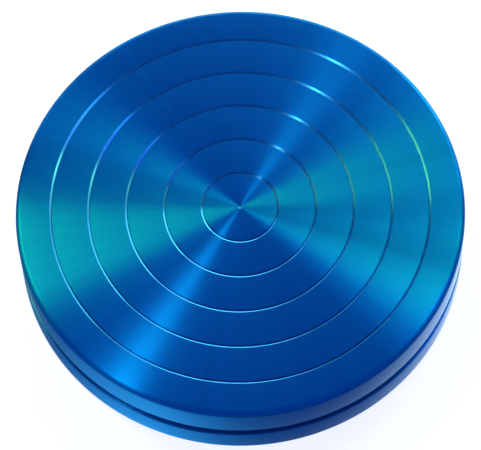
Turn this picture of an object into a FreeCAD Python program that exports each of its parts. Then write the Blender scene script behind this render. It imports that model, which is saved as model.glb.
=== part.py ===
import FreeCAD, Part
import math
import os

# A small hand-turned pottery wheel: two turned aluminium discs with a thin gap between them.
# The upper disc spins about Z on a ring of balls and is centred by a small ball bearing.
# Millimetres. +Z is up, and the origin is on the axis, on the surface that the feet stand on.

Vector = FreeCAD.Vector
UP = Vector(0, 0, 1)
FULL_TURN = 360

# Discs
disc_radius = 75.0
top_thickness = 13.0
disc_gap = 4.0
edge_round = 2.0
gap_edge_chamfer = 0.4

# Centring grooves and centre point in the work surface
groove_pitch = 12.65
groove_width = 0.9
groove_depth = 0.4
groove_inner_wall_run = 0.15
groove_rim_margin = 2.0
centre_point_radius = 0.6
centre_point_depth = 0.4

# Thrust bearing: two race rings, a ring of balls and their cage
thrust_circle_radius = 32.0
thrust_ball_radius = 2.5
race_width = 10.0
race_thickness = 3.0
race_groove_depth = 0.6
thrust_cage_width = 8.0
thrust_cage_thickness = 1.8
cage_bridge = 1.8

# Radial ball bearing, named by its bore, section and width
spindle_radius = 7.5
bearing_section = 4.5
bearing_width = 5.0
bearing_ball_radius = 1.19
bearing_groove_depth = 0.45
bearing_cage_wall = 0.8
bearing_cage_rim = 0.2
bearing_cage_bridge = 1.5
shield_thickness = 0.3
shield_sink = 0.1
shield_step = 0.4
ring_chamfer = 0.3

# Spindle, its flange and the spacer tube above the bearing
flange_width = 13.5
flange_thickness = 3.5
spacer_wall = 1.1

# What holds the bearing in the base
lip_thickness = 1.0
lip_width = 2.0
spring_height = 1.2
spring_strip = 0.3
spring_width = 1.4
spring_waves = 3
spring_points_per_wave = 12
circlip_thickness = 1.2
circlip_seat_depth = 0.6
circlip_width = 2.0
circlip_opening = 34.0
circlip_lug_radius = 1.4
circlip_lug_setback = 0.35
circlip_lug_hole_radius = 0.6

# Washer on the spindle's lower end, and the cover under it
washer_thickness = 2.0
spindle_end_relief = 0.2
cover_thickness = 1.5
cover_margin = 10.0
cover_headroom = 0.3

# Rubber feet
foot_count = 4
foot_radius = 8.0
foot_stand = 1.5
foot_pocket_depth = 1.5
foot_inset = 15.0
foot_chamfer = 0.4
foot_screw_sink = 0.4

# Screws: thread radius, length under and with the head, and hexagon socket across its flats
m3_radius = 1.5
m3_head_radius = 3.0
m3_socket = 2.0
m4_radius = 2.0
m4_head_radius = 4.0
m4_socket = 2.5
spindle_screw_length = 8.0
spindle_screw_count = 4
retaining_screw_length = 10.0
cover_screw_length = 6.0
cover_screw_count = 3
foot_screw_length = 7.0
pan_head_radius = 2.75
pan_head_height = 1.4
socket_depth_share = 0.6
screw_tip_chamfer = 0.3
screw_circle_share = 0.55

# Clearances
thread_clearance = 0.02
shank_clearance = 0.15
screw_hole_runout = 1.0
seat_clearance = 0.05
press_clearance = 0.01
running_clearance = 0.02
pocket_clearance = 0.1
shield_clearance = 0.08
rubber_clearance = 0.1
spring_clearance = 0.02
spring_side_clearance = 0.1
washer_side_clearance = 0.6
ball_conformity = 1.04

# Heights, from the feet up
base_thickness = (cover_thickness + cover_headroom + washer_thickness + bearing_width
                  + spring_height + lip_thickness)
base_bottom = foot_stand
base_top = base_bottom + base_thickness
top_bottom = base_top + disc_gap
top_face = top_bottom + top_thickness
ball_height = (base_top + top_bottom) / 2
cover_top = base_bottom + cover_thickness
bearing_bottom = cover_top + cover_headroom + washer_thickness
bearing_top = bearing_bottom + bearing_width
bearing_middle = (bearing_bottom + bearing_top) / 2
lip_bottom = base_top - lip_thickness
flange_top = top_bottom + flange_thickness

# Radii and depths that follow from the values above
race_inner_radius = thrust_circle_radius - race_width / 2
race_outer_radius = thrust_circle_radius + race_width / 2
race_face_distance = 2 * (thrust_ball_radius + running_clearance - race_groove_depth)
lower_race_face = ball_height - race_face_distance / 2
upper_race_face = ball_height + race_face_distance / 2
bearing_outer_radius = spindle_radius + bearing_section
bearing_circle_radius = spindle_radius + bearing_section / 2
bearing_track_inner = bearing_circle_radius - bearing_ball_radius - running_clearance
bearing_track_outer = bearing_circle_radius + bearing_ball_radius + running_clearance
inner_ring_land = bearing_track_inner + bearing_groove_depth
outer_ring_land = bearing_track_outer - bearing_groove_depth
washer_radius = inner_ring_land - washer_side_clearance
bore_radius = bearing_outer_radius + press_clearance
lip_radius = bore_radius - lip_width
flange_radius = spindle_radius + flange_width
flange_screw_circle = spindle_radius + flange_width * screw_circle_share
cover_radius = bore_radius + cover_margin
cover_screw_circle = bore_radius + cover_margin * screw_circle_share
foot_circle_radius = disc_radius - foot_inset
spindle_bottom = bearing_bottom + spindle_end_relief
centre_angle = FULL_TURN / 2 / foot_count


def tube(outer, inner, bottom, top):
    """A round ring between two heights."""
    base = Vector(0, 0, bottom)
    return Part.makeCylinder(outer, top - bottom, base).cut(Part.makeCylinder(inner, top - bottom, base))


def around(shape, count, first_angle=0.0):
    """Copies of a shape, evenly spaced about the Z axis."""
    copies = []
    for index in range(count):
        copy = shape.copy()
        copy.rotate(Vector(0, 0, 0), UP, first_angle + index * FULL_TURN / count)
        copies.append(copy)
    return copies


def circle_edges(shape, radius, height):
    """The circular edges of a shape that have this radius and lie at this height."""
    found = []
    for edge in shape.Edges:
        curve = edge.Curve
        if not isinstance(curve, Part.Circle):
            continue
        if abs(curve.Radius - radius) < 1e-4 and abs(curve.Center.z - height) < 1e-4:
            found.append(edge)
    return found


def turned_groove(radius, width, inner_wall_run, depth, height):
    """A ring cut from a face at this height, with a steep inner wall and a sloping outer one."""
    inner_edge = Vector(radius - width / 2, 0, height)
    bottom_edge = Vector(inner_edge.x + inner_wall_run, 0, height - depth)
    outer_edge = Vector(radius + width / 2, 0, height)
    profile = Part.makePolygon([inner_edge, bottom_edge, outer_edge, inner_edge])
    return Part.Face(profile).revolve(Vector(0, 0, 0), UP, FULL_TURN)


def hexagon_socket(across_flats, depth, bottom):
    """A hexagonal hole that runs up from this height."""
    corner_radius = across_flats / math.sqrt(3)
    corners = []
    for index in range(7):
        angle = math.radians(60 * index)
        corners.append(Vector(corner_radius * math.cos(angle), corner_radius * math.sin(angle), bottom))
    return Part.Face(Part.makePolygon(corners)).extrude(Vector(0, 0, depth))


def screw_shank(radius, bottom, top):
    """A plain shank that stands for the thread, with a chamfered tip at its top."""
    shank = Part.makeCylinder(radius, top - bottom, Vector(0, 0, bottom))
    return shank.makeChamfer(screw_tip_chamfer, circle_edges(shank, radius, top))


def countersunk_screw(radius, head_radius, length, socket, x, bottom):
    """A flat-head socket screw that points up, with its head's face at this height."""
    head_height = head_radius - radius
    head = Part.makeCone(head_radius, radius, head_height, Vector(0, 0, bottom))
    shank = screw_shank(radius, bottom + head_height, bottom + length)
    screw = head.fuse(shank).cut(hexagon_socket(socket, head_height * socket_depth_share, bottom))
    screw.translate(Vector(x, 0, 0))
    return screw


def countersunk_hole(radius, head_radius, top, x, bottom):
    """The hole that a flat-head screw needs in the sheet or flange that it holds."""
    clear_radius = radius + shank_clearance
    cone = Part.makeCone(head_radius, clear_radius, head_radius - clear_radius, Vector(x, 0, bottom))
    return cone.fuse(Part.makeCylinder(clear_radius, top - bottom, Vector(x, 0, bottom)))


def tapped_hole(radius, bottom, top, x):
    """A tapped hole that runs past the end of its screw."""
    depth = top - bottom + screw_hole_runout
    return Part.makeCylinder(radius + thread_clearance, depth, Vector(x, 0, bottom))


def race_track(circle_radius, ball_radius, offset, height):
    """The round groove that balls run in, its bottom this far from the balls' centres."""
    groove_radius = ball_radius * ball_conformity
    shift = ball_radius + running_clearance - groove_radius
    return Part.makeTorus(circle_radius + offset[0] * shift, groove_radius,
                          Vector(0, 0, height + offset[1] * shift), UP)


def ball_ring(ball_radius, count, circle_radius, height):
    """Evenly spaced balls on a circle."""
    return around(Part.makeSphere(ball_radius, Vector(circle_radius, 0, height)), count)


def balls_that_fit(circle_radius, ball_radius, bridge):
    """How many balls a cage holds, with at least this much metal between their pockets."""
    spacing = 2 * (ball_radius + pocket_clearance) + bridge
    return int(2 * math.pi * circle_radius / spacing)


thrust_ball_count = balls_that_fit(thrust_circle_radius, thrust_ball_radius, cage_bridge)
bearing_ball_count = balls_that_fit(bearing_circle_radius, bearing_ball_radius, bearing_cage_bridge)


def top_disc():
    """The spinning disc: grooves above, seats for the spindle's flange and the race below."""
    disc = Part.makeCylinder(disc_radius, top_thickness, Vector(0, 0, top_bottom))
    disc = disc.makeFillet(edge_round, circle_edges(disc, disc_radius, top_face))
    disc = disc.makeChamfer(gap_edge_chamfer, circle_edges(disc, disc_radius, top_bottom))
    groove_count = int((disc_radius - edge_round - groove_rim_margin) / groove_pitch)
    cuts = [turned_groove(groove_pitch * (index + 1), groove_width, groove_inner_wall_run, groove_depth,
                          top_face)
            for index in range(groove_count)]
    cuts.append(Part.makeCone(0, centre_point_radius, centre_point_depth,
                              Vector(0, 0, top_face - centre_point_depth)))
    cuts.append(Part.makeCylinder(flange_radius + seat_clearance, flange_thickness, Vector(0, 0, top_bottom)))
    cuts.append(tube(race_outer_radius + seat_clearance, race_inner_radius - seat_clearance,
                     top_bottom, upper_race_face + race_thickness))
    screw_hole = tapped_hole(m4_radius, flange_top, top_bottom + spindle_screw_length, flange_screw_circle)
    cuts.extend(around(screw_hole, spindle_screw_count))
    return disc.cut(cuts)


def spindle():
    """A round flange with a shaft under it, tapped at its lower end."""
    flange = Part.makeCylinder(flange_radius, flange_thickness, Vector(0, 0, top_bottom))
    shaft = Part.makeCylinder(spindle_radius, top_bottom - spindle_bottom, Vector(0, 0, spindle_bottom))
    shaft = shaft.makeChamfer(ring_chamfer, circle_edges(shaft, spindle_radius, spindle_bottom))
    screw_hole = countersunk_hole(m4_radius, m4_head_radius, flange_top, flange_screw_circle, top_bottom)
    cuts = around(screw_hole, spindle_screw_count)
    thread_top = bearing_bottom - washer_thickness + retaining_screw_length
    cuts.append(tapped_hole(m4_radius, spindle_bottom, thread_top, 0))
    return flange.fuse(shaft).cut(cuts)


def spindle_screws():
    """The screws that hold the flange up against the top disc."""
    screw = countersunk_screw(m4_radius, m4_head_radius, spindle_screw_length, m4_socket,
                              flange_screw_circle, top_bottom)
    return Part.makeCompound(around(screw, spindle_screw_count))


def spacer_tube():
    """Sits on the bearing's inner ring and carries the spindle's flange."""
    inner = spindle_radius + running_clearance
    return tube(inner + spacer_wall, inner, bearing_top, top_bottom)


def upper_race():
    """The hardened ring in the top disc that rides on the balls."""
    ring = tube(race_outer_radius, race_inner_radius, upper_race_face, upper_race_face + race_thickness)
    return ring.cut(race_track(thrust_circle_radius, thrust_ball_radius, (0, 1), ball_height))


def lower_race():
    """The hardened ring in the base disc that the balls roll on."""
    ring = tube(race_outer_radius, race_inner_radius, lower_race_face - race_thickness, lower_race_face)
    return ring.cut(race_track(thrust_circle_radius, thrust_ball_radius, (0, -1), ball_height))


def thrust_balls():
    """The balls that carry the load."""
    return Part.makeCompound(ball_ring(thrust_ball_radius, thrust_ball_count,
                                       thrust_circle_radius, ball_height))


def thrust_cage():
    """A flat ring with a round pocket for each ball."""
    half_width = thrust_cage_width / 2
    bottom = ball_height - thrust_cage_thickness / 2
    ring = tube(thrust_circle_radius + half_width, thrust_circle_radius - half_width,
                bottom, bottom + thrust_cage_thickness)
    pocket = Part.makeCylinder(thrust_ball_radius + pocket_clearance, thrust_cage_thickness,
                               Vector(thrust_circle_radius, 0, bottom))
    return ring.cut(around(pocket, thrust_ball_count))


def bearing_inner_ring():
    """The ring on the spindle."""
    ring = tube(inner_ring_land, spindle_radius + press_clearance, bearing_bottom, bearing_top)
    return ring.cut(race_track(bearing_circle_radius, bearing_ball_radius, (-1, 0), bearing_middle))


def bearing_outer_ring():
    """The outer ring, stepped at each side for its shield."""
    ring = tube(bearing_outer_radius, outer_ring_land, bearing_bottom, bearing_top)
    rims = circle_edges(ring, bearing_outer_radius, bearing_bottom)
    rims += circle_edges(ring, bearing_outer_radius, bearing_top)
    ring = ring.makeChamfer(ring_chamfer, rims)
    step_depth = shield_sink + shield_thickness
    step_radius = outer_ring_land + shield_step
    return ring.cut([race_track(bearing_circle_radius, bearing_ball_radius, (1, 0), bearing_middle),
                     Part.makeCylinder(step_radius, step_depth, Vector(0, 0, bearing_bottom)),
                     Part.makeCylinder(step_radius, step_depth, Vector(0, 0, bearing_top - step_depth))])


def bearing_balls():
    """The small balls that centre the spindle."""
    return Part.makeCompound(ball_ring(bearing_ball_radius, bearing_ball_count,
                                       bearing_circle_radius, bearing_middle))


def bearing_cage():
    """A thin ring with a round pocket bored through it for each ball."""
    half_wall = bearing_cage_wall / 2
    half_height = bearing_ball_radius + pocket_clearance + bearing_cage_rim
    ring = tube(bearing_circle_radius + half_wall, bearing_circle_radius - half_wall,
                bearing_middle - half_height, bearing_middle + half_height)
    pocket = Part.makeCylinder(bearing_ball_radius + pocket_clearance, bearing_section,
                               Vector(spindle_radius, 0, bearing_middle), Vector(1, 0, 0))
    return ring.cut(around(pocket, bearing_ball_count))


def shield(bottom):
    """A thin ring snapped into the outer ring, which just clears the inner one."""
    return tube(outer_ring_land + shield_step, inner_ring_land + shield_clearance,
                bottom, bottom + shield_thickness)


def wave_spring():
    """A flat strip bent into a wavy ring between the lip and the bearing's outer ring."""
    outer = bearing_outer_radius - spring_side_clearance
    inner = outer - spring_width
    lift = (spring_height - spring_strip) / 2 - spring_clearance
    middle = (bearing_top + lip_bottom) / 2
    steps = spring_waves * spring_points_per_wave

    def wavy_edge(radius, height):
        points = []
        for index in range(steps):
            angle = 2 * math.pi * index / steps
            points.append(Vector(radius * math.cos(angle), radius * math.sin(angle),
                                 height + lift * math.sin(spring_waves * angle)))
        curve = Part.BSplineCurve()
        curve.interpolate(Points=points, PeriodicFlag=True)
        return curve.toShape()

    low, high = middle - spring_strip / 2, middle + spring_strip / 2
    corners = [wavy_edge(inner, low), wavy_edge(outer, low), wavy_edge(outer, high), wavy_edge(inner, high)]
    faces = [Part.makeRuledSurface(corners[index], corners[(index + 1) % 4]) for index in range(4)]
    skin = Part.makeCompound(faces)
    skin.sewShape()
    return Part.makeSolid(Part.makeShell(skin.Faces))


def bearing_circlip():
    """An open ring with two lugs for pliers, sprung into a groove under the bearing."""
    top = bearing_bottom - seat_clearance
    bottom = top - circlip_thickness
    outer = bore_radius + circlip_seat_depth - seat_clearance
    ring = tube(outer, outer - circlip_width, bottom, top)
    half_opening = circlip_opening / 2
    opening = Part.makeCylinder(2 * outer, circlip_thickness, Vector(0, 0, bottom), UP, circlip_opening)
    opening.rotate(Vector(0, 0, 0), UP, -half_opening)
    ring = ring.cut(opening)
    lug_circle = outer - circlip_width + circlip_lug_setback
    lug = Part.makeCylinder(circlip_lug_radius, circlip_thickness, Vector(lug_circle, 0, bottom))
    hole = Part.makeCylinder(circlip_lug_hole_radius, circlip_thickness, Vector(lug_circle, 0, bottom))
    for side in (-1, 1):
        turned_lug = lug.copy()
        turned_lug.rotate(Vector(0, 0, 0), UP, side * half_opening)
        ring = ring.fuse(turned_lug)
    for side in (-1, 1):
        turned_hole = hole.copy()
        turned_hole.rotate(Vector(0, 0, 0), UP, side * half_opening)
        ring = ring.cut(turned_hole)
    return ring.removeSplitter()


def retaining_washer():
    """A thick washer, countersunk so that the retaining screw lies flush."""
    bottom = bearing_bottom - washer_thickness
    washer = Part.makeCylinder(washer_radius, washer_thickness, Vector(0, 0, bottom))
    washer = washer.makeChamfer(ring_chamfer, circle_edges(washer, washer_radius, bottom))
    return washer.cut(countersunk_hole(m4_radius, m4_head_radius, bearing_bottom, 0, bottom))


def retaining_screw():
    """Pulls the washer up against the bearing's inner ring."""
    return countersunk_screw(m4_radius, m4_head_radius, retaining_screw_length, m4_socket,
                             0, bearing_bottom - washer_thickness)


def foot_places(shape):
    """One copy of a shape at each foot, from a shape drawn at the first foot's radius on X."""
    return around(shape, foot_count, centre_angle)


def base_disc():
    """The standing disc: bored for the bearing, with seats for the race, cover and feet."""
    disc = Part.makeCylinder(disc_radius, base_thickness, Vector(0, 0, base_bottom))
    disc = disc.makeFillet(edge_round, circle_edges(disc, disc_radius, base_bottom))
    disc = disc.makeChamfer(gap_edge_chamfer, circle_edges(disc, disc_radius, base_top))
    circlip_bottom = bearing_bottom - circlip_thickness - 2 * seat_clearance
    cuts = [Part.makeCylinder(lip_radius, base_thickness, Vector(0, 0, base_bottom)),
            Part.makeCylinder(bore_radius, lip_bottom - base_bottom, Vector(0, 0, base_bottom)),
            Part.makeCylinder(bore_radius + circlip_seat_depth, bearing_bottom - circlip_bottom,
                              Vector(0, 0, circlip_bottom)),
            Part.makeCylinder(cover_radius + seat_clearance, cover_thickness, Vector(0, 0, base_bottom)),
            tube(race_outer_radius + seat_clearance, race_inner_radius - seat_clearance,
                 lower_race_face - race_thickness, base_top)]
    cover_hole = tapped_hole(m3_radius, cover_top, base_bottom + cover_screw_length, cover_screw_circle)
    cuts.extend(around(cover_hole, cover_screw_count))
    pocket = Part.makeCylinder(foot_radius + rubber_clearance, foot_pocket_depth,
                               Vector(foot_circle_radius, 0, base_bottom))
    thread = tapped_hole(m3_radius, base_bottom + foot_pocket_depth,
                         foot_screw_sink + pan_head_height + foot_screw_length, foot_circle_radius)
    cuts.extend(foot_places(pocket.fuse(thread)))
    return disc.cut(cuts)


def bottom_cover():
    """A flat round plate, flush with the base's underside."""
    plate = Part.makeCylinder(cover_radius, cover_thickness, Vector(0, 0, base_bottom))
    hole = countersunk_hole(m3_radius, m3_head_radius, cover_top, cover_screw_circle, base_bottom)
    return plate.cut(around(hole, cover_screw_count))


def cover_screws():
    """Hold the cover to the base, flush with it."""
    screw = countersunk_screw(m3_radius, m3_head_radius, cover_screw_length, m3_socket,
                              cover_screw_circle, base_bottom)
    return Part.makeCompound(around(screw, cover_screw_count))


def rubber_feet():
    """Rubber pads in pockets, each bored and counterbored for its screw."""
    height = foot_stand + foot_pocket_depth
    foot = Part.makeCylinder(foot_radius, height, Vector(foot_circle_radius, 0, 0))
    foot = foot.makeChamfer(foot_chamfer, circle_edges(foot, foot_radius, 0))
    head_room = Part.makeCylinder(pan_head_radius + rubber_clearance, foot_screw_sink + pan_head_height,
                                  Vector(foot_circle_radius, 0, 0))
    hole = Part.makeCylinder(m3_radius + rubber_clearance, height, Vector(foot_circle_radius, 0, 0))
    return foot_places(foot.cut([head_room, hole]))


def foot_screws():
    """Pan-head screws whose heads lie above the foot's own face, clear of the table."""
    head_top = foot_screw_sink + pan_head_height
    head = Part.makeCylinder(pan_head_radius, pan_head_height, Vector(0, 0, foot_screw_sink))
    head = head.makeFillet(pan_head_height / 2, circle_edges(head, pan_head_radius, foot_screw_sink))
    shank = screw_shank(m3_radius, head_top, head_top + foot_screw_length)
    socket = hexagon_socket(m3_socket, pan_head_height * socket_depth_share, foot_screw_sink)
    screw = head.fuse(shank).cut(socket)
    screw.translate(Vector(foot_circle_radius, 0, 0))
    return Part.makeCompound(foot_places(screw))


pieces = {
    "top_disc": top_disc(),
    "spindle": spindle(),
    "spindle_screws": spindle_screws(),
    "spacer_tube": spacer_tube(),
    "upper_race": upper_race(),
    "thrust_balls": thrust_balls(),
    "thrust_cage": thrust_cage(),
    "lower_race": lower_race(),
    "bearing_inner_ring": bearing_inner_ring(),
    "bearing_outer_ring": bearing_outer_ring(),
    "bearing_balls": bearing_balls(),
    "bearing_cage": bearing_cage(),
    "upper_shield": shield(bearing_top - shield_sink - shield_thickness),
    "lower_shield": shield(bearing_bottom + shield_sink),
    "wave_spring": wave_spring(),
    "bearing_circlip": bearing_circlip(),
    "retaining_washer": retaining_washer(),
    "retaining_screw": retaining_screw(),
    "base_disc": base_disc(),
    "bottom_cover": bottom_cover(),
    "cover_screws": cover_screws(),
    "foot_screws": foot_screws(),
}
for number, foot in enumerate(rubber_feet(), start=1):
    pieces["rubber_foot_" + str(number)] = foot

os.makedirs("parts", exist_ok=True)
for name, shape in pieces.items():
    shape.exportStep("parts/" + name + ".step")
    print(name, "solids", len(shape.Solids), "volume", round(shape.Volume, 2), "valid", shape.isValid())
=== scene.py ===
import math

import bmesh
import bpy
from mathutils import Matrix, Vector


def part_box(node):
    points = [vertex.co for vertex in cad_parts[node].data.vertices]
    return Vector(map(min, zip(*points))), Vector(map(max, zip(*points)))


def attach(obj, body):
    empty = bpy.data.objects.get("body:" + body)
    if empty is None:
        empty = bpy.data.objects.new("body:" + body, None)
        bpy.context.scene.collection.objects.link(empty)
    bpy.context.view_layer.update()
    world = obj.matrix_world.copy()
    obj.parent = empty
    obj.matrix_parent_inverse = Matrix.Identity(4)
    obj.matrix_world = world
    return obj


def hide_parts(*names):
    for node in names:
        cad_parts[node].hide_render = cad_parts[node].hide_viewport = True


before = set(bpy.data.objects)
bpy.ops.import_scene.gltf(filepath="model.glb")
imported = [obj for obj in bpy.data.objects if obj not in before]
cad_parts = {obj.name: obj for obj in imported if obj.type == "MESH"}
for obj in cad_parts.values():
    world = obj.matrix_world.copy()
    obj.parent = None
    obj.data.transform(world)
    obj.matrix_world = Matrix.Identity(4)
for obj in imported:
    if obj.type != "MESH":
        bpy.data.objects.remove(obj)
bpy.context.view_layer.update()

mm = 0.001

# ---------------------------------------------------------------- base disc
# The standing disc: a slice of aluminium bar turned on a lathe, bored for the bearing, drilled for
# its screws, pocketed for its feet, and then anodised blue all over.


def linear(hex_colour):
    """An sRGB hex colour as the linear red, green, blue and alpha that a shader takes."""
    channels = []
    for start in (1, 3, 5):
        value = int(hex_colour[start:start + 2], 16) / 255
        channels.append(value / 12.92 if value <= 0.04045 else ((value + 0.055) / 1.055) ** 2.4)
    return (*channels, 1.0)


def add_node(material, kind, inputs=None, **settings):
    """Adds a shader node. inputs maps a socket's name or number to a value or to an output."""
    node = material.node_tree.nodes.new(kind)
    for name, value in settings.items():
        setattr(node, name, value)
    for name, value in (inputs or {}).items():
        if isinstance(value, bpy.types.NodeSocket):
            material.node_tree.links.new(value, node.inputs[name])
        else:
            node.inputs[name].default_value = value
    return node


def new_material(name):
    """An empty node material."""
    material = bpy.data.materials.new(name)
    material.use_nodes = True
    material.node_tree.nodes.clear()
    return material


def rounded(corners, step_angle=math.radians(12)):
    """An outline of (radius, height) points, where each corner's third number is its rounding's radius."""
    points = []
    for index, (radius, height, rounding) in enumerate(corners):
        corner = Vector((radius, height))
        if rounding == 0:
            points.append(corner)
            continue
        before = (Vector(corners[index - 1][:2]) - corner).normalized()
        after = (Vector(corners[(index + 1) % len(corners)][:2]) - corner).normalized()
        half = before.angle(after) / 2
        centre = corner + (before + after).normalized() * rounding / math.sin(half)
        start = corner + before * rounding / math.tan(half) - centre
        end = corner + after * rounding / math.tan(half) - centre
        steps = max(2, math.ceil(start.angle(end) / step_angle))
        for step in range(steps + 1):
            points.append(centre + start.slerp(end, step / steps) * rounding)
    return points


def soften(mesh, crisp_angle=math.radians(35)):
    """Smooth shading, with the corners between faces left crisp."""
    mesh.shade_smooth()
    mesh.set_sharp_from_angle(angle=crisp_angle)


def lathe(name, outline, segments, closed=False):
    """A mesh turned about Z from an outline in metres; an open outline starts and ends on the axis."""
    mesh = bpy.data.meshes.new(name)
    shape = bmesh.new()
    rings = []
    for radius, height in outline:
        if radius == 0:
            rings.append([shape.verts.new((0, 0, height))])
            continue
        ring = []
        for index in range(segments):
            angle = 2 * math.pi * index / segments
            ring.append(shape.verts.new((radius * math.cos(angle), radius * math.sin(angle), height)))
        rings.append(ring)
    pairs = list(zip(rings, rings[1:]))
    if closed:
        pairs.append((rings[-1], rings[0]))
    for first, second in pairs:
        for index in range(segments):
            after = (index + 1) % segments
            loop = [first[index % len(first)], first[after % len(first)],
                    second[after % len(second)], second[index % len(second)]]
            shape.faces.new(list(dict.fromkeys(loop)))
    bmesh.ops.recalc_face_normals(shape, faces=shape.faces)
    shape.to_mesh(mesh)
    shape.free()
    soften(mesh)
    piece = bpy.data.objects.new(name, mesh)
    bpy.context.collection.objects.link(piece)
    return piece


def ring_of(piece, count, circle_radius, first_angle=0.0):
    """Repeats a piece's mesh, evenly spaced on a circle about Z."""
    whole = bmesh.new()
    for index in range(count):
        turn = Matrix.Rotation(first_angle + 2 * math.pi * index / count, 4, "Z")
        copy = piece.data.copy()
        copy.transform(turn @ Matrix.Translation((circle_radius, 0, 0)))
        whole.from_mesh(copy)
        bpy.data.meshes.remove(copy)
    whole.to_mesh(piece.data)
    whole.free()
    soften(piece.data)
    return piece


def cut_away(piece, cutter):
    """Takes the cutter's shape out of the piece, as a drill or an end mill does."""
    cut = piece.modifiers.new("cut", "BOOLEAN")
    cut.object = cutter
    cut.solver = "EXACT"
    evaluated = piece.evaluated_get(bpy.context.evaluated_depsgraph_get())
    mesh = bpy.data.meshes.new_from_object(evaluated)
    piece.modifiers.clear()
    piece.data = mesh
    bpy.data.objects.remove(cutter)
    soften(mesh)


def plug(name, steps, segments):
    """A stepped round solid from (radius, height) pairs, closed at both ends; it is used as a cutter."""
    first_height = steps[0][1]
    last_height = steps[-1][1]
    return lathe(name, [(0, first_height)] + steps + [(0, last_height)], segments)


def turned_metal(name, colour, roughness, spacing, height, unevenness, anisotropy=1.0, ray_angle=1 / 26):
    """Metal turned on a lathe. The tool leaves fine rings, so a light shows as a bright ray that
    runs straight out from the middle, and the rings catch it unevenly. Real rings lie 0.1 mm apart
    or less, and spacing is wider than that so that they show. ray_angle, in radians, is how far
    round the disc a darker or brighter ray reaches."""
    material = new_material(name)
    place = add_node(material, "ShaderNodeTexCoord").outputs["Object"]
    split = add_node(material, "ShaderNodeSeparateXYZ", {0: place})
    flat = add_node(material, "ShaderNodeCombineXYZ", {0: split.outputs[0], 1: split.outputs[1]})
    radius = add_node(material, "ShaderNodeVectorMath", {0: flat.outputs[0]}, operation="LENGTH")
    along = add_node(material, "ShaderNodeMath", {0: radius.outputs["Value"], 1: split.outputs[2]},
                     operation="SUBTRACT")
    turns = add_node(material, "ShaderNodeMath", {0: along.outputs[0], 1: 1 / spacing},
                     operation="MULTIPLY")
    marks = add_node(material, "ShaderNodeTexNoise", {"W": turns.outputs[0], "Scale": 1.0, "Detail": 3.0,
                     "Roughness": 0.7}, noise_dimensions="1D")
    compass = add_node(material, "ShaderNodeVectorMath", {0: flat.outputs[0]}, operation="NORMALIZE")
    rays = add_node(material, "ShaderNodeTexNoise", {"Vector": compass.outputs[0], "Scale": 1 / ray_angle,
                    "Detail": 4.0, "Roughness": 0.65})
    mixed = add_node(material, "ShaderNodeMath", {0: marks.outputs[0], 1: rays.outputs[0]}, operation="ADD")
    gloss = add_node(material, "ShaderNodeMapRange",
                     {"Value": mixed.outputs[0], "From Min": 0.6, "From Max": 1.4,
                      "To Min": roughness * (1 - unevenness), "To Max": roughness * (1 + unevenness)})
    tone_change = 1.5 * unevenness
    tone = add_node(material, "ShaderNodeMapRange",
                    {"Value": mixed.outputs[0], "From Min": 0.6, "From Max": 1.4,
                     "To Min": 1 - tone_change, "To Max": 1 + tone_change})
    shade = add_node(material, "ShaderNodeVectorMath", {0: linear(colour)[:3], 1: tone.outputs[0]},
                     operation="MULTIPLY")
    bump = add_node(material, "ShaderNodeBump", {"Height": marks.outputs[0], "Strength": 1.0,
                    "Distance": height})
    tangent = add_node(material, "ShaderNodeTangent", direction_type="RADIAL", axis="Z")
    shader = add_node(material, "ShaderNodeBsdfPrincipled",
                      {"Base Color": shade.outputs[0], "Metallic": 1.0, "Anisotropic": anisotropy,
                       "Anisotropic Rotation": 0.25, "Roughness": gloss.outputs[0],
                       "Normal": bump.outputs[0], "Tangent": tangent.outputs[0]})
    add_node(material, "ShaderNodeOutputMaterial", {"Surface": shader.outputs[0]})
    return material


# Anodised aluminium: a clear oxide skin that holds blue dye, over metal that still shows its turning.
# The thin edges at the gap are a paler blue, which is a painted highlight.
disc_blue = "#0689c4"
gap_edge_highlight_blue = "#3aa0d0"
faced_blue = turned_metal("anodised aluminium, faced", disc_blue, roughness=0.31, spacing=0.45 * mm,
                          height=0.0027 * mm, unevenness=0.08)
side_blue = turned_metal("anodised aluminium, turned side", disc_blue, roughness=0.34, spacing=0.5 * mm,
                         height=0.004 * mm, unevenness=0.08)
# The paler blue of the thin edges at the gap is a painted highlight.
gap_edge_painted_highlight = turned_metal("anodised aluminium, gap edge, painted highlight", gap_edge_highlight_blue, roughness=0.36, spacing=0.5 * mm,
                         height=0.004 * mm, unevenness=0.15)

disc_segments = 384
disc_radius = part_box("base_disc")[1].x
edge_round = 2.0 * mm
gap_edge_round = 0.4 * mm
fine_edge = 0.1 * mm


def colour_disc(piece, gap_height, side_limit=0.5, flat_limit=0.99):
    """Blue on the faces and the side, and on the thin edge at the gap a paler blue that is a painted
    highlight. The limits are for how level a face lies: 0 is upright and 1 is level."""
    for material in (faced_blue, side_blue, gap_edge_painted_highlight):
        piece.data.materials.append(material)
    side, edge = 1, 2
    for polygon in piece.data.polygons:
        if Vector(polygon.center[:2]).length <= disc_radius - edge_round:
            continue
        levelness = abs(polygon.normal.z)
        if levelness < side_limit:
            polygon.material_index = side
        # The thin edge at the gap gets the paler blue of a painted highlight.
        if levelness < flat_limit and abs(polygon.center.z - gap_height) < gap_edge_round:
            polygon.material_index = edge


base_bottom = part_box("base_disc")[0].z
base_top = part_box("base_disc")[1].z
race_width = 10.0 * mm
race_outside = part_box("lower_race")[1].x
race_inside = race_outside - race_width
race_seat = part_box("lower_race")[0].z
cover_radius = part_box("bottom_cover")[1].x
cover_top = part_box("bottom_cover")[1].z
cover_clearance = 0.05 * mm
bore_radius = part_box("bearing_outer_ring")[1].x
circlip_seat_depth = 0.6 * mm
circlip_seat_radius = bore_radius + circlip_seat_depth
circlip_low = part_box("bearing_circlip")[0].z
circlip_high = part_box("bearing_circlip")[1].z
lip_width = 2.0 * mm
lip_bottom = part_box("wave_spring")[1].z

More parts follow.
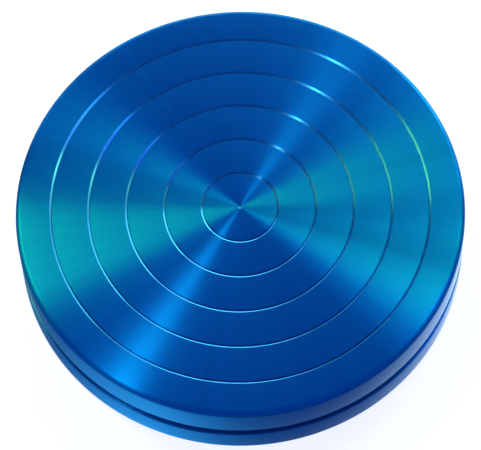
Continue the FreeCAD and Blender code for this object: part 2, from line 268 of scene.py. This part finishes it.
base = lathe("turned_base_disc", rounded([
    (cover_radius + cover_clearance, cover_top, 0),
    (cover_radius + cover_clearance, base_bottom, fine_edge),
    (disc_radius, base_bottom, edge_round),
    (disc_radius, base_top, gap_edge_round),
    (race_outside, base_top, fine_edge),
    (race_outside, race_seat, 0),
    (race_inside, race_seat, 0),
    (race_inside, base_top, fine_edge),
    (bore_radius - lip_width, base_top, fine_edge),
    (bore_radius - lip_width, lip_bottom, 0),
    (bore_radius, lip_bottom, 0),
    (bore_radius, circlip_high, 0),
    (circlip_seat_radius, circlip_high, 0),
    (circlip_seat_radius, circlip_low, 0),
    (bore_radius, circlip_low, 0),
    (bore_radius, cover_top, 0),
]), disc_segments, closed=True)
colour_disc(base, base_top)

m3_radius = 1.5 * mm
thread_clearance = 0.02 * mm
hole_runout = 1.0 * mm
foot_count = 4
foot_radius = (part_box("rubber_foot_1")[1].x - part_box("rubber_foot_1")[0].x) / 2
foot_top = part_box("rubber_foot_1")[1].z
foot_middle = (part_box("rubber_foot_1")[0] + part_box("rubber_foot_1")[1]) / 2
foot_circle = Vector(foot_middle[:2]).length
foot_angle = math.pi / foot_count
pocket_clearance = 0.1 * mm
drill_start = base_bottom - hole_runout
foot_screw_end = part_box("foot_screws")[1].z
foot_pocket = plug("foot_pocket_cutter", [
    (foot_radius + pocket_clearance, drill_start),
    (foot_radius + pocket_clearance, foot_top),
    (m3_radius + thread_clearance, foot_top),
    (m3_radius + thread_clearance, foot_screw_end + hole_runout),
], segments=96)
cut_away(base, ring_of(foot_pocket, foot_count, foot_circle, foot_angle))

cover_screw_count = 3
cover_screw_head = 3.0 * mm
cover_screw_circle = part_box("cover_screws")[1].x - cover_screw_head
cover_screw_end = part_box("cover_screws")[1].z
cover_thread = plug("cover_thread_cutter", [
    (m3_radius + thread_clearance, drill_start),
    (m3_radius + thread_clearance, cover_screw_end + hole_runout),
], segments=48)
cut_away(base, ring_of(cover_thread, cover_screw_count, cover_screw_circle))
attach(base, "base")
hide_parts("base_disc")

# ---------------------------------------------------------------- ball bearing in the base
# A bought deep-groove bearing that keeps the disc central: two hardened steel rings ground all over,
# polished balls in a pressed cage, and a thin steel shield snapped in at each side.


def finish_nodes(material, *nodes):
    """Gives parts that keep their own shape their material."""
    for node in nodes:
        for slot in bpy.data.objects[node].material_slots:
            slot.material = material


def polished_steel(name, colour, roughness, haze_size):
    """Lapped bearing steel: a mirror, with a faint haze where oil and handling have touched it."""
    material = new_material(name)
    place = add_node(material, "ShaderNodeTexCoord").outputs["Object"]
    haze = add_node(material, "ShaderNodeTexNoise", {"Vector": place, "Scale": 1 / haze_size,
                    "Detail": 3.0, "Roughness": 0.6})
    gloss = add_node(material, "ShaderNodeMapRange", {"Value": haze.outputs[0], "From Min": 0.35,
                     "From Max": 0.7, "To Min": roughness, "To Max": roughness * 2.2})
    tone = add_node(material, "ShaderNodeMapRange", {"Value": haze.outputs[0], "From Min": 0.3,
                    "From Max": 0.7, "To Min": 1.0, "To Max": 0.9})
    shade = add_node(material, "ShaderNodeVectorMath", {0: linear(colour)[:3], 1: tone.outputs[0]},
                     operation="MULTIPLY")
    shader = add_node(material, "ShaderNodeBsdfPrincipled", {"Base Color": shade.outputs[0],
                      "Metallic": 1.0, "Roughness": gloss.outputs[0]})
    add_node(material, "ShaderNodeOutputMaterial", {"Surface": shader.outputs[0]})
    return material


def pressed_sheet_steel(name, colour, roughness, grain_size, dimple_height):
    """Rolled sheet pressed to shape: bright but dull, with a fine even grain and soft flow marks."""
    material = new_material(name)
    place = add_node(material, "ShaderNodeTexCoord").outputs["Object"]
    grain = add_node(material, "ShaderNodeTexNoise", {"Vector": place, "Scale": 1 / grain_size,
                     "Detail": 4.0, "Roughness": 0.6})
    flow = add_node(material, "ShaderNodeTexNoise", {"Vector": place, "Scale": 0.08 / grain_size,
                    "Detail": 2.0, "Distortion": 1.5})
    gloss = add_node(material, "ShaderNodeMapRange", {"Value": flow.outputs[0], "From Min": 0.3,
                     "From Max": 0.7, "To Min": roughness * 0.8, "To Max": roughness * 1.25})
    tone = add_node(material, "ShaderNodeMapRange", {"Value": grain.outputs[0], "From Min": 0.3,
                    "From Max": 0.7, "To Min": 0.88, "To Max": 1.06})
    shade = add_node(material, "ShaderNodeVectorMath", {0: linear(colour)[:3], 1: tone.outputs[0]},
                     operation="MULTIPLY")
    bump = add_node(material, "ShaderNodeBump", {"Height": grain.outputs[0], "Strength": 1.0,
                    "Distance": dimple_height})
    shader = add_node(material, "ShaderNodeBsdfPrincipled", {"Base Color": shade.outputs[0],
                      "Metallic": 1.0, "Roughness": gloss.outputs[0], "Normal": bump.outputs[0]})
    add_node(material, "ShaderNodeOutputMaterial", {"Surface": shader.outputs[0]})
    return material


ground_race_steel = turned_metal("hardened steel, ground", "#c3c5c8", roughness=0.22, spacing=0.2 * mm,
                                 height=0.0008 * mm, unevenness=0.06)
ball_steel = polished_steel("hardened steel, lapped", "#cfd0d3", roughness=0.05, haze_size=2.0 * mm)
cage_steel = pressed_sheet_steel("mild steel, pressed", "#b3b1ac", roughness=0.38, grain_size=0.3 * mm,
                                 dimple_height=0.01 * mm)
shield_steel = pressed_sheet_steel("tinned steel, pressed", "#c4c4c1", roughness=0.28,
                                   grain_size=0.4 * mm, dimple_height=0.006 * mm)
finish_nodes(ground_race_steel, "bearing_inner_ring", "bearing_outer_ring")
finish_nodes(ball_steel, "bearing_balls")
finish_nodes(cage_steel, "bearing_cage")
finish_nodes(shield_steel, "upper_shield", "lower_shield")

# ---------------------------------------------------------------- wave spring and circlip
# The wavy ring presses the bearing down without play, and the open ring with two lugs, sprung into
# its groove, holds it in. Both are spring steel, tempered to a dark blue in an oven.


def blued_spring_steel(name, blue, straw, roughness, drift_size, grain_size):
    """Tempered steel: an oxide film whose colour drifts from dark blue to brown as the heat did."""
    material = new_material(name)
    place = add_node(material, "ShaderNodeTexCoord").outputs["Object"]
    drift = add_node(material, "ShaderNodeTexNoise", {"Vector": place, "Scale": 1 / drift_size,
                     "Detail": 2.0, "Roughness": 0.5})
    heat = add_node(material, "ShaderNodeValToRGB", {"Fac": drift.outputs[0]})
    heat.color_ramp.elements[0].position = 0.42
    heat.color_ramp.elements[0].color = linear(blue)
    heat.color_ramp.elements[1].position = 0.72
    heat.color_ramp.elements[1].color = linear(straw)
    grain = add_node(material, "ShaderNodeTexNoise", {"Vector": place, "Scale": 1 / grain_size,
                     "Detail": 3.0})
    gloss = add_node(material, "ShaderNodeMapRange", {"Value": grain.outputs[0], "From Min": 0.3,
                     "From Max": 0.7, "To Min": roughness * 0.85, "To Max": roughness * 1.2})
    shader = add_node(material, "ShaderNodeBsdfPrincipled", {"Base Color": heat.outputs[0],
                      "Metallic": 1.0, "Roughness": gloss.outputs[0]})
    add_node(material, "ShaderNodeOutputMaterial", {"Surface": shader.outputs[0]})
    return material


spring_steel = blued_spring_steel("spring steel, blued", blue="#2a3550", straw="#6b5638", roughness=0.3,
                                  drift_size=6.0 * mm, grain_size=0.25 * mm)
finish_nodes(spring_steel, "wave_spring", "bearing_circlip")

# ---------------------------------------------------------------- thrust bearing in the gap
# Two hardened rings, let into the two discs, and a ring of balls that rolls between them and carries
# the clay. A flat brass cage, bored through for each ball, keeps the balls apart.


def machined_brass(name, fresh, tarnished, roughness, patch_size, spacing, height):
    """Free-cutting brass: turned bright, then dulled in soft brown patches by the air."""
    material = new_material(name)
    place = add_node(material, "ShaderNodeTexCoord").outputs["Object"]
    patches = add_node(material, "ShaderNodeTexNoise", {"Vector": place, "Scale": 1 / patch_size,
                       "Detail": 5.0, "Roughness": 0.6})
    tarnish = add_node(material, "ShaderNodeValToRGB", {"Fac": patches.outputs[0]})
    tarnish.color_ramp.elements[0].position = 0.4
    tarnish.color_ramp.elements[0].color = linear(fresh)
    tarnish.color_ramp.elements[1].position = 0.75
    tarnish.color_ramp.elements[1].color = linear(tarnished)
    split = add_node(material, "ShaderNodeSeparateXYZ", {0: place})
    flat = add_node(material, "ShaderNodeCombineXYZ", {0: split.outputs[0], 1: split.outputs[1]})
    in_turns = add_node(material, "ShaderNodeVectorMath", {0: flat.outputs[0], 1: (1 / spacing,) * 3},
                        operation="MULTIPLY")
    turns = add_node(material, "ShaderNodeVectorMath", {0: in_turns.outputs[0]}, operation="LENGTH")
    marks = add_node(material, "ShaderNodeTexNoise", {"W": turns.outputs["Value"], "Scale": 1.0,
                     "Detail": 2.0}, noise_dimensions="1D")
    gloss = add_node(material, "ShaderNodeMapRange", {"Value": patches.outputs[0], "From Min": 0.35,
                     "From Max": 0.7, "To Min": roughness, "To Max": roughness * 1.6})
    bump = add_node(material, "ShaderNodeBump", {"Height": marks.outputs[0], "Strength": 1.0,
                    "Distance": height})
    shader = add_node(material, "ShaderNodeBsdfPrincipled", {"Base Color": tarnish.outputs[0],
                      "Metallic": 1.0, "Roughness": gloss.outputs[0], "Normal": bump.outputs[0]})
    add_node(material, "ShaderNodeOutputMaterial", {"Surface": shader.outputs[0]})
    return material


cage_brass = machined_brass("brass, machined", fresh="#d8b25e", tarnished="#8a6a34", roughness=0.2,
                            patch_size=5.0 * mm, spacing=0.25 * mm, height=0.002 * mm)
finish_nodes(ground_race_steel, "lower_race", "upper_race")
finish_nodes(ball_steel, "thrust_balls")
finish_nodes(cage_brass, "thrust_cage")

# ---------------------------------------------------------------- top disc
# The work surface: the same bar, with five V grooves, steep on their inner side, that centre the clay,
# a centre point and a rounded rim, all cut on the lathe before the blue anodising.
top_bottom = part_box("top_disc")[0].z
top_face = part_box("top_disc")[1].z
groove_pitch = 12.65 * mm
groove_width = 0.9 * mm
groove_depth = 0.4 * mm
groove_inner_wall_run = 0.15 * mm
groove_count = 5
groove_edge = 0.04 * mm
centre_point_radius = 0.6 * mm
centre_point_depth = 0.4 * mm
flange_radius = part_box("spindle")[1].x
flange_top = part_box("spindle")[1].z
upper_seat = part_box("upper_race")[1].z

corners = [(0, top_face - centre_point_depth, 0), (centre_point_radius, top_face, groove_edge)]
for number in range(1, groove_count + 1):
    inner_edge = number * groove_pitch - groove_width / 2
    corners.append((inner_edge, top_face, groove_edge))
    corners.append((inner_edge + groove_inner_wall_run, top_face - groove_depth, groove_edge))
    corners.append((inner_edge + groove_width, top_face, groove_edge))
corners += [
    (disc_radius, top_face, edge_round),
    (disc_radius, top_bottom, gap_edge_round),
    (race_outside, top_bottom, fine_edge),
    (race_outside, upper_seat, 0),
    (race_inside, upper_seat, 0),
    (race_inside, top_bottom, fine_edge),
    (flange_radius, top_bottom, fine_edge),
    (flange_radius, flange_top, 0),
    (0, flange_top, 0),
]
top = lathe("turned_top_disc", rounded(corners), disc_segments)
colour_disc(top, top_bottom)

# The sloping wall of each groove is cut last and lightly, so it is smooth. Its paler, greyer blue is a
# painted highlight, so that the groove lines show bright.
groove_wall_painted_highlight = turned_metal("anodised aluminium, groove wall, painted highlight", "#2f8cb0", roughness=0.17,
                           spacing=0.5 * mm, height=0.001 * mm, unevenness=0.05, anisotropy=0.3)
groove_slot = len(top.data.materials)
least_lean = 0.2
top.data.materials.append(groove_wall_painted_highlight)
# The walls that lean inward get the paler blue of a painted highlight.
for polygon in top.data.polygons:
    below_face = top_face - groove_depth < polygon.center.z < top_face
    outward = Vector(polygon.center[:2]).normalized()
    leans_inward = Vector(polygon.normal[:2]).dot(outward) < -least_lean
    if below_face and leans_inward:
        polygon.material_index = groove_slot

m4_radius = 2.0 * mm
m4_head_radius = 4.0 * mm
spindle_screw_count = 4
spindle_screw_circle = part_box("spindle_screws")[1].x - m4_head_radius
spindle_thread = plug("spindle_thread_cutter", [
    (m4_radius + thread_clearance, top_bottom),
    (m4_radius + thread_clearance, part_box("spindle_screws")[1].z + hole_runout),
], segments=48)
cut_away(top, ring_of(spindle_thread, spindle_screw_count, spindle_screw_circle))
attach(top, "turntable")
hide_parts("top_disc")

# ---------------------------------------------------------------- spindle
# A flanged steel shaft, turned and then ground where it runs, screwed up into the top disc by four
# flat-head screws. A spacer tube round it sets the disc's height above the bearing, and a washer and a
# screw hold it in the bearing from below.
spindle_steel = turned_metal("carbon steel, ground", "#b9bbbd", roughness=0.28, spacing=0.3 * mm,
                             height=0.0015 * mm, unevenness=0.08)
finish_nodes(spindle_steel, "spindle", "spacer_tube")


def black_oxide_steel(name, black, worn, roughness, rub_size, grain_size):
    """Alloy screws blacked in a hot salt bath: a dull black skin, rubbed to grey in patches."""
    material = new_material(name)
    place = add_node(material, "ShaderNodeTexCoord").outputs["Object"]
    rubs = add_node(material, "ShaderNodeTexNoise", {"Vector": place, "Scale": 1 / rub_size,
                    "Detail": 6.0, "Roughness": 0.7})
    wear = add_node(material, "ShaderNodeValToRGB", {"Fac": rubs.outputs[0]})
    wear.color_ramp.elements[0].position = 0.55
    wear.color_ramp.elements[0].color = linear(black)
    wear.color_ramp.elements[1].position = 0.8
    wear.color_ramp.elements[1].color = linear(worn)
    grain = add_node(material, "ShaderNodeTexNoise", {"Vector": place, "Scale": 1 / grain_size,
                     "Detail": 2.0})
    gloss = add_node(material, "ShaderNodeMapRange", {"Value": rubs.outputs[0], "From Min": 0.3,
                     "From Max": 0.75, "To Min": roughness * 1.15, "To Max": roughness * 0.75})
    bump = add_node(material, "ShaderNodeBump", {"Height": grain.outputs[0], "Strength": 1.0,
                    "Distance": grain_size * 0.03})
    shader = add_node(material, "ShaderNodeBsdfPrincipled", {"Base Color": wear.outputs[0],
                      "Metallic": 1.0, "Roughness": gloss.outputs[0], "Normal": bump.outputs[0]})
    add_node(material, "ShaderNodeOutputMaterial", {"Surface": shader.outputs[0]})
    return material


def zinc_plate(name, colour, tint, roughness, crystal_size):
    """Bright zinc, passivated clear: pale grey with a faint straw and blue bloom from the dip."""
    material = new_material(name)
    place = add_node(material, "ShaderNodeTexCoord").outputs["Object"]
    bloom = add_node(material, "ShaderNodeTexNoise", {"Vector": place, "Scale": 0.1 / crystal_size,
                     "Detail": 2.0, "Distortion": 0.8})
    film = add_node(material, "ShaderNodeValToRGB", {"Fac": bloom.outputs[0]})
    film.color_ramp.elements[0].position = 0.35
    film.color_ramp.elements[0].color = linear(colour)
    film.color_ramp.elements[1].position = 0.7
    film.color_ramp.elements[1].color = linear(tint)
    crystals = add_node(material, "ShaderNodeTexVoronoi", {"Vector": place, "Scale": 1 / crystal_size})
    gloss = add_node(material, "ShaderNodeMapRange", {"Value": crystals.outputs["Distance"],
                     "To Min": roughness * 0.85, "To Max": roughness * 1.3})
    bump = add_node(material, "ShaderNodeBump", {"Height": crystals.outputs["Distance"],
                    "Strength": 1.0, "Distance": crystal_size * 0.01})
    shader = add_node(material, "ShaderNodeBsdfPrincipled", {"Base Color": film.outputs[0],
                      "Metallic": 1.0, "Roughness": gloss.outputs[0], "Normal": bump.outputs[0]})
    add_node(material, "ShaderNodeOutputMaterial", {"Surface": shader.outputs[0]})
    return material


black_steel = black_oxide_steel("alloy steel, black oxide", black="#1c1c1e", worn="#77777a",
                                roughness=0.42, rub_size=1.5 * mm, grain_size=0.15 * mm)
bright_zinc = zinc_plate("steel, zinc plated", "#c2c6c8", tint="#c9c3a8", roughness=0.3,
                         crystal_size=0.4 * mm)
finish_nodes(black_steel, "spindle_screws", "retaining_screw")
finish_nodes(bright_zinc, "retaining_washer")

# ---------------------------------------------------------------- bottom cover
# A round stainless plate, cut from brushed sheet and countersunk for three screws. It lies flush in
# the base's underside and closes the bearing's bore.


def brushed_stainless(name, colour, roughness, scratch_length, scratch_width, scratch_height):
    """Belt-brushed sheet: straight parallel scratches that all run one way."""
    material = new_material(name)
    place = add_node(material, "ShaderNodeTexCoord").outputs["Object"]
    stretch = add_node(material, "ShaderNodeMapping", {"Vector": place,
                       "Scale": (1 / scratch_length, 1 / scratch_width, 1 / scratch_width)})
    scratches = add_node(material, "ShaderNodeTexNoise", {"Vector": stretch.outputs[0], "Scale": 1.0,
                         "Detail": 5.0, "Roughness": 0.65})
    gloss = add_node(material, "ShaderNodeMapRange", {"Value": scratches.outputs[0], "From Min": 0.3,
                     "From Max": 0.7, "To Min": roughness * 0.75, "To Max": roughness * 1.3})
    tone = add_node(material, "ShaderNodeMapRange", {"Value": scratches.outputs[0], "From Min": 0.3,
                    "From Max": 0.7, "To Min": 0.88, "To Max": 1.08})
    shade = add_node(material, "ShaderNodeVectorMath", {0: linear(colour)[:3], 1: tone.outputs[0]},
                     operation="MULTIPLY")
    bump = add_node(material, "ShaderNodeBump", {"Height": scratches.outputs[0], "Strength": 1.0,
                    "Distance": scratch_height})
    shader = add_node(material, "ShaderNodeBsdfPrincipled", {"Base Color": shade.outputs[0],
                      "Metallic": 1.0, "Roughness": gloss.outputs[0], "Normal": bump.outputs[0]})
    add_node(material, "ShaderNodeOutputMaterial", {"Surface": shader.outputs[0]})
    return material


cover = lathe("countersunk_bottom_cover", rounded([
    (0, base_bottom, 0),
    (cover_radius, base_bottom, fine_edge),
    (cover_radius, cover_top, fine_edge),
    (0, cover_top, 0),
]), segments=192)
shank_clearance = 0.15 * mm
hole_radius = m3_radius + shank_clearance
countersink = plug("countersink_cutter", [
    (cover_screw_head + hole_runout, base_bottom - hole_runout),
    (hole_radius, base_bottom + cover_screw_head - hole_radius),
    (hole_radius, cover_top + hole_runout),
], segments=64)
cut_away(cover, ring_of(countersink, cover_screw_count, cover_screw_circle))
brushed_sheet = brushed_stainless("stainless sheet, brushed", "#c6c4c0", roughness=0.3,
                                  scratch_length=14.0 * mm, scratch_width=0.12 * mm,
                                  scratch_height=0.002 * mm)
cover.data.materials.append(brushed_sheet)
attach(cover, "base")
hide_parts("bottom_cover")

# Three flat-head socket screws, flush with the cover. Alloy steel, cold headed, thread rolled, blacked.
socket_flats = 2.0 * mm
socket_share = 0.6
tip_chamfer = 0.3 * mm


def hexagon_socket(head_height, head_face):
    """The cutter for a hexagonal socket in a screw head that faces down."""
    radius = socket_flats / math.sqrt(3)
    depth = head_height * socket_share
    return plug("socket_cutter", [(radius, head_face - depth), (radius, head_face + depth)], segments=6)


cover_head_height = cover_screw_head - m3_radius
cover_screw = lathe("blacked_cover_screws", rounded([
    (0, base_bottom, 0),
    (cover_screw_head, base_bottom, fine_edge),
    (m3_radius, base_bottom + cover_head_height, fine_edge),
    (m3_radius, cover_screw_end - tip_chamfer, 0),
    (m3_radius - tip_chamfer, cover_screw_end, 0),
    (0, cover_screw_end, 0),
]), segments=64)
cut_away(cover_screw, hexagon_socket(cover_head_height, base_bottom))
cover_screw.data.materials.append(black_steel)
ring_of(cover_screw, cover_screw_count, cover_screw_circle)
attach(cover_screw, "base")
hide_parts("cover_screws")

# ---------------------------------------------------------------- rubber feet
# Four moulded rubber pads in round pockets. Each is counterbored for a pan-head screw, whose head
# stays clear of the table, and has a soft moulded edge where it stands.


def moulded_rubber(name, colour, worn, roughness, grain_size, dust_size):
    """Black nitrile rubber: matt, with the fine spark texture of its mould and a bloom of pale dust."""
    material = new_material(name)
    place = add_node(material, "ShaderNodeTexCoord").outputs["Object"]
    grain = add_node(material, "ShaderNodeTexNoise", {"Vector": place, "Scale": 1 / grain_size,
                     "Detail": 3.0, "Roughness": 0.6})
    dust = add_node(material, "ShaderNodeTexNoise", {"Vector": place, "Scale": 1 / dust_size,
                    "Detail": 6.0, "Roughness": 0.65})
    bloom = add_node(material, "ShaderNodeValToRGB", {"Fac": dust.outputs[0]})
    bloom.color_ramp.elements[0].position = 0.4
    bloom.color_ramp.elements[0].color = linear(colour)
    bloom.color_ramp.elements[1].position = 0.8
    bloom.color_ramp.elements[1].color = linear(worn)
    gloss = add_node(material, "ShaderNodeMapRange", {"Value": dust.outputs[0], "From Min": 0.3,
                     "From Max": 0.7, "To Min": roughness * 0.9, "To Max": min(1.0, roughness * 1.2)})
    bump = add_node(material, "ShaderNodeBump", {"Height": grain.outputs[0], "Strength": 1.0,
                    "Distance": grain_size * 0.08})
    shader = add_node(material, "ShaderNodeBsdfPrincipled", {"Base Color": bloom.outputs[0],
                      "IOR": 1.52, "Roughness": gloss.outputs[0], "Normal": bump.outputs[0]})
    add_node(material, "ShaderNodeOutputMaterial", {"Surface": shader.outputs[0]})
    return material


foot_rubber = moulded_rubber("nitrile rubber, moulded", "#161616", worn="#3a3835", roughness=0.7,
                             grain_size=0.2 * mm, dust_size=4.0 * mm)
foot_edge = 0.5 * mm
foot_hole_radius = m3_radius + pocket_clearance
pan_head_radius = 2.75 * mm
pan_head_height = 1.4 * mm
pan_head_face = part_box("foot_screws")[0].z
pan_head_top = pan_head_face + pan_head_height
for number in range(1, foot_count + 1):
    node = "rubber_foot_" + str(number)
    low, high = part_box(node)
    foot = lathe("moulded_" + node, rounded([
        (foot_hole_radius, high.z, fine_edge),
        (foot_hole_radius, pan_head_top, 0),
        (pan_head_radius + pocket_clearance, pan_head_top, 0),
        (pan_head_radius + pocket_clearance, low.z, fine_edge),
        (foot_radius, low.z, foot_edge),
        (foot_radius, high.z, fine_edge),
    ]), segments=96, closed=True)
    foot.location = ((low.x + high.x) / 2, (low.y + high.y) / 2, 0)
    foot.data.materials.append(foot_rubber)
    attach(foot, "base")
    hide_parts(node)

# Four pan-head socket screws, zinc plated, one through each foot.
foot_screw = lathe("zinc_foot_screws", rounded([
    (0, pan_head_face, 0),
    (pan_head_radius, pan_head_face, pan_head_height / 2),
    (pan_head_radius, pan_head_top, fine_edge),
    (m3_radius, pan_head_top, 0),
    (m3_radius, foot_screw_end - tip_chamfer, 0),
    (m3_radius - tip_chamfer, foot_screw_end, 0),
    (0, foot_screw_end, 0),
]), segments=64)
cut_away(foot_screw, hexagon_socket(pan_head_height, pan_head_face))
foot_screw.data.materials.append(bright_zinc)
ring_of(foot_screw, foot_count, foot_circle, foot_angle)
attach(foot_screw, "base")
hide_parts("foot_screws")

# ---------------------------------------------------------------- studio
# A white table in a white room, a long lens from above, and soft lamps that are small and tinted. The
# turned faces spread each lamp into a ray, so the lamps' places set where the rays lie.
camera_distance = 1.0942
camera_elevation = math.radians(64.34)
camera_roll = math.radians(-2.594)
aim = Vector((-0.15, 0, 15.33)) * mm

camera_data = bpy.data.cameras.new("camera")
camera_data.lens = 245.8
camera_data.sensor_width = 36.0
camera = bpy.data.objects.new("camera", camera_data)
bpy.context.collection.objects.link(camera)
camera.location = Vector((0, -camera_distance * math.cos(camera_elevation),
                          top_face + camera_distance * math.sin(camera_elevation)))
look = (aim - camera.location).to_track_quat("-Z", "Y").to_matrix().to_4x4()
camera.rotation_euler = (look @ Matrix.Rotation(camera_roll, 4, "Z")).to_euler()
bpy.context.scene.camera = camera

# White paper: matt, and lit evenly from behind so that it has no seams.
paper = new_material("white paper")
paper_shader = add_node(paper, "ShaderNodeBsdfPrincipled", {"Base Color": linear("#b4b4b4"),
                        "Roughness": 0.9, "Emission Color": linear("#ffffff"),
                        "Emission Strength": 0.85})
add_node(paper, "ShaderNodeOutputMaterial", {"Surface": paper_shader.outputs[0]})


def paper_sheet(name, points, faces):
    """A piece of the white room, which the metal does not mirror."""
    mesh = bpy.data.meshes.new(name)
    mesh.from_pydata(points, [], faces)
    mesh.materials.append(paper)
    sheet = bpy.data.objects.new(name, mesh)
    bpy.context.collection.objects.link(sheet)
    sheet.visible_glossy = False
    return sheet


room_half = 3.0
floor_corners = [(-room_half, -room_half, 0), (room_half, -room_half, 0),
                 (room_half, room_half, 0), (-room_half, room_half, 0)]
wall_tops = [(x, y, room_half) for x, y, _ in floor_corners]
paper_sheet("floor", floor_corners, [(0, 1, 2, 3)])
walls = paper_sheet("walls", floor_corners + wall_tops,
                    [(side, (side + 1) % 4, (side + 1) % 4 + 4, side + 4) for side in range(4)])
walls.visible_diffuse = False
walls.visible_shadow = False

world = bpy.data.worlds.new("studio")
world.use_nodes = True
world.node_tree.nodes.clear()
view_direction = add_node(world, "ShaderNodeTexCoord").outputs["Generated"]


def direction(azimuth, elevation):
    """The way from the wheel towards an azimuth and an elevation in degrees."""
    turn = math.radians(azimuth)
    tilt = math.radians(elevation)
    return Vector((math.cos(turn) * math.cos(tilt), math.sin(turn) * math.cos(tilt), math.sin(tilt)))


def glow(azimuth, elevation, sharpness, strength, colour):
    """A soft pool of light that the metal mirrors from the dim room, low down round the wheel."""
    toward = direction(azimuth, elevation)
    near = add_node(world, "ShaderNodeVectorMath", {0: view_direction, 1: toward}, operation="DOT_PRODUCT")
    fall = add_node(world, "ShaderNodeMath", {0: near.outputs["Value"], 1: sharpness, 2: -sharpness},
                    operation="MULTIPLY_ADD")
    fade = add_node(world, "ShaderNodeMath", {0: fall.outputs[0]}, operation="EXPONENT")
    level = add_node(world, "ShaderNodeMath", {0: fade.outputs[0], 1: strength}, operation="MULTIPLY")
    return add_node(world, "ShaderNodeBackground", {"Color": linear(colour), "Strength": level.outputs[0]})


# The room that the metal mirrors is dim and bluish, and darkest low down.
rise = add_node(world, "ShaderNodeSeparateXYZ", {0: view_direction}).outputs["Z"]
brightness = add_node(world, "ShaderNodeMapRange", {"Value": rise, "From Min": -0.9, "From Max": -0.2,
                      "To Min": 0.2, "To Max": 0.45}).outputs["Result"]
room = add_node(world, "ShaderNodeBackground", {"Color": linear("#5c92ff"), "Strength": brightness})
pools = [glow(55, -62, sharpness=14, strength=7.2, colour="#fff6e8"),
         glow(-142, -62, sharpness=22, strength=3.1, colour="#70e8ff")]
surroundings = room.outputs[0]
for pool in pools:
    surroundings = add_node(world, "ShaderNodeAddShader", {0: surroundings, 1: pool.outputs[0]}).outputs[0]
add_node(world, "ShaderNodeOutputWorld", {"Surface": surroundings})
bpy.context.scene.world = world

# The spot overhead that the flat face shows to the camera.
mirrored = Vector((0, math.cos(camera_elevation), math.sin(camera_elevation)))


def softbox(name, azimuth, elevation, distance, width, height, watts, colour):
    """A rectangular lamp that faces the wheel, with its height pointing to the mirrored spot. Azimuth
    and elevation are in degrees, and distance, width and height are in metres."""
    light = bpy.data.lights.new(name, "AREA")
    light.shape = "RECTANGLE"
    light.size = width
    light.size_y = height
    light.energy = watts
    light.color = linear(colour)[:3]
    lamp = bpy.data.objects.new(name, light)
    lamp.visible_camera = False
    bpy.context.collection.objects.link(lamp)
    toward = direction(azimuth, elevation)
    lamp.location = toward * distance + Vector((0, 0, top_face))
    across = mirrored.cross(toward).normalized()
    lamp.rotation_euler = Matrix((across, toward.cross(across), toward)).transposed().to_euler()


softbox("left_window", 149.4, 51.3, 0.9, 0.28, 0.12, 1.85, "#ffff8a")
softbox("right_window", 15.2, 57.1, 0.8, 0.12, 0.2, 0.27, "#5050ff")
softbox("right_near_lamp", 28.1, 63.8, 0.33, 0.04, 0.06, 0.068, "#ffff70")
softbox("right_high_lamp", 6.8, 62, 0.4, 0.05, 0.1, 0.05, "#7caaff")
softbox("right_middle_window", 30, 51.8, 0.5, 0.06, 0.12, 0.13, "#ffffc3")
softbox("right_back_window", 37, 46.5, 0.5, 0.055, 0.12, 0.04, "#fffcf0")
softbox("streak_lamp", -169.1, 70, 0.5, 0.022, 0.2, 0.15, "#ecfff0")
softbox("ceiling_lamp", -169.1, 70, 0.6, 0.06, 0.25, 0.1, "#5c70ff")
softbox("side_strip", 46, 26, 0.9, 0.44, 0.22, 1.3, "#e8faff")
softbox("back_strip", 78, 13, 0.9, 1.2, 0.22, 4.8, "#d8f4ff")
softbox("corner_strip", 122, 17, 0.9, 0.4, 0.2, 0.6, "#d8f4ff")

bpy.context.scene.view_settings.view_transform = "Standard"
